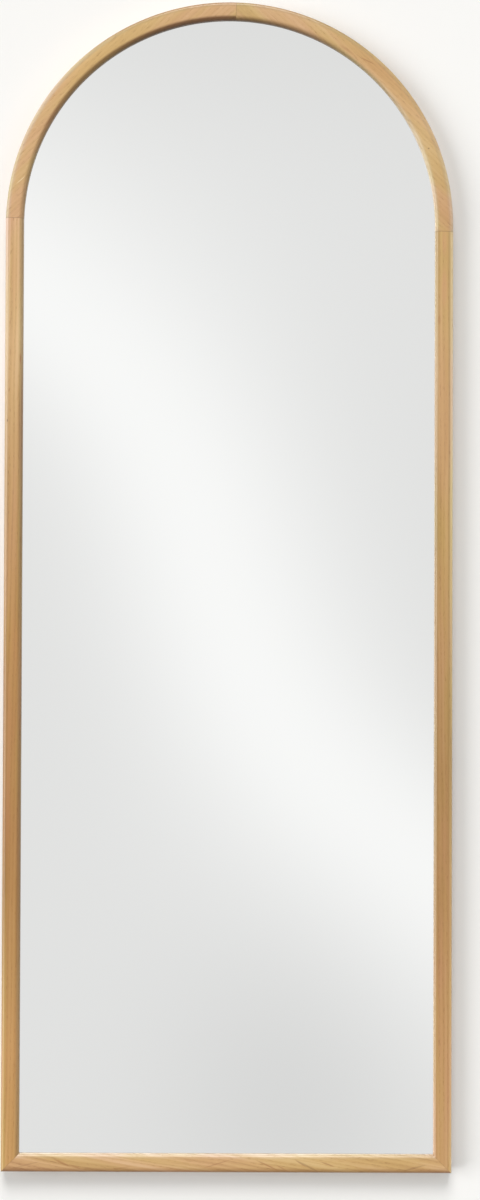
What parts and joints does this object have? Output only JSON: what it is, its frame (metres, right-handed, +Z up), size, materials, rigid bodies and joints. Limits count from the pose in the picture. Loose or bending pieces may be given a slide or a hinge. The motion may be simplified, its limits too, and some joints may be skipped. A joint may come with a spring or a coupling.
{
  "type": "full-length mirror",
  "caption": "Full-length wall mirror with a half-round top: silvered glass in a slim jointed oak frame, with a let-in back board and two ring hangers.",
  "frame": {"origin": "on the wall's plane, midway between the two wall hooks that carry the raised rings", "axes": "+X to the right as seen from the front, +Y backwards into the wall, +Z up"},
  "size_m": [0.653, 0.03, 1.703],
  "materials": {
    "oak": "light oak, matt oiled, fine straight grain",
    "beech": "planed beech",
    "oak_key": "darker oak, sanded flush",
    "silvered_glass": "silvered float glass with polished edges",
    "block_rubber": "matt",
    "film": "thin pressed film",
    "foam": "closed-cell foam",
    "hardboard": "smooth pressed fibre board",
    "screw_steel": "yellowish zinc plating",
    "zinc_plate": "zinc plated, slightly dull",
    "zinc_wire": "zinc plated wire",
    "bumper_rubber": "matt rubber"
  },
  "bodies": {
    "mirror": {"left_stile": "oak", "right_stile": "oak", "bottom_rail": "oak", "left_arch": "oak", "right_arch": "oak", "left_spring_tenon": "beech", "crown_tenon": "beech", "right_spring_tenon": "beech", "left_corner_key": "oak_key", "right_corner_key": "oak_key", "mirror_glass": "silvered_glass", "glass_blocks": "block_rubber", "safety_film": "film", "foam_sheet": "foam", "backing_board": "hardboard", "board_screws": "screw_steel", "left_hanger_strap": "zinc_plate", "right_hanger_strap": "zinc_plate", "hanger_screws": "screw_steel", "wall_bumpers": "bumper_rubber"},
    "left_ring": {"left_hanger_ring": "zinc_wire"},
    "right_ring": {"right_hanger_ring": "zinc_wire"}
  },
  "joints": [
    {"name": "left_ring_swing", "type": "hinge", "parent": "mirror", "child": "left_ring", "pos_m": [-0.31475, -0.00345, -0.0127], "axis": [1, 0, 0], "range_deg": [0, 178]},
    {"name": "right_ring_swing", "type": "hinge", "parent": "mirror", "child": "right_ring", "pos_m": [0.31475, -0.00345, -0.0127], "axis": [1, 0, 0], "range_deg": [0, 178]}
  ]
}
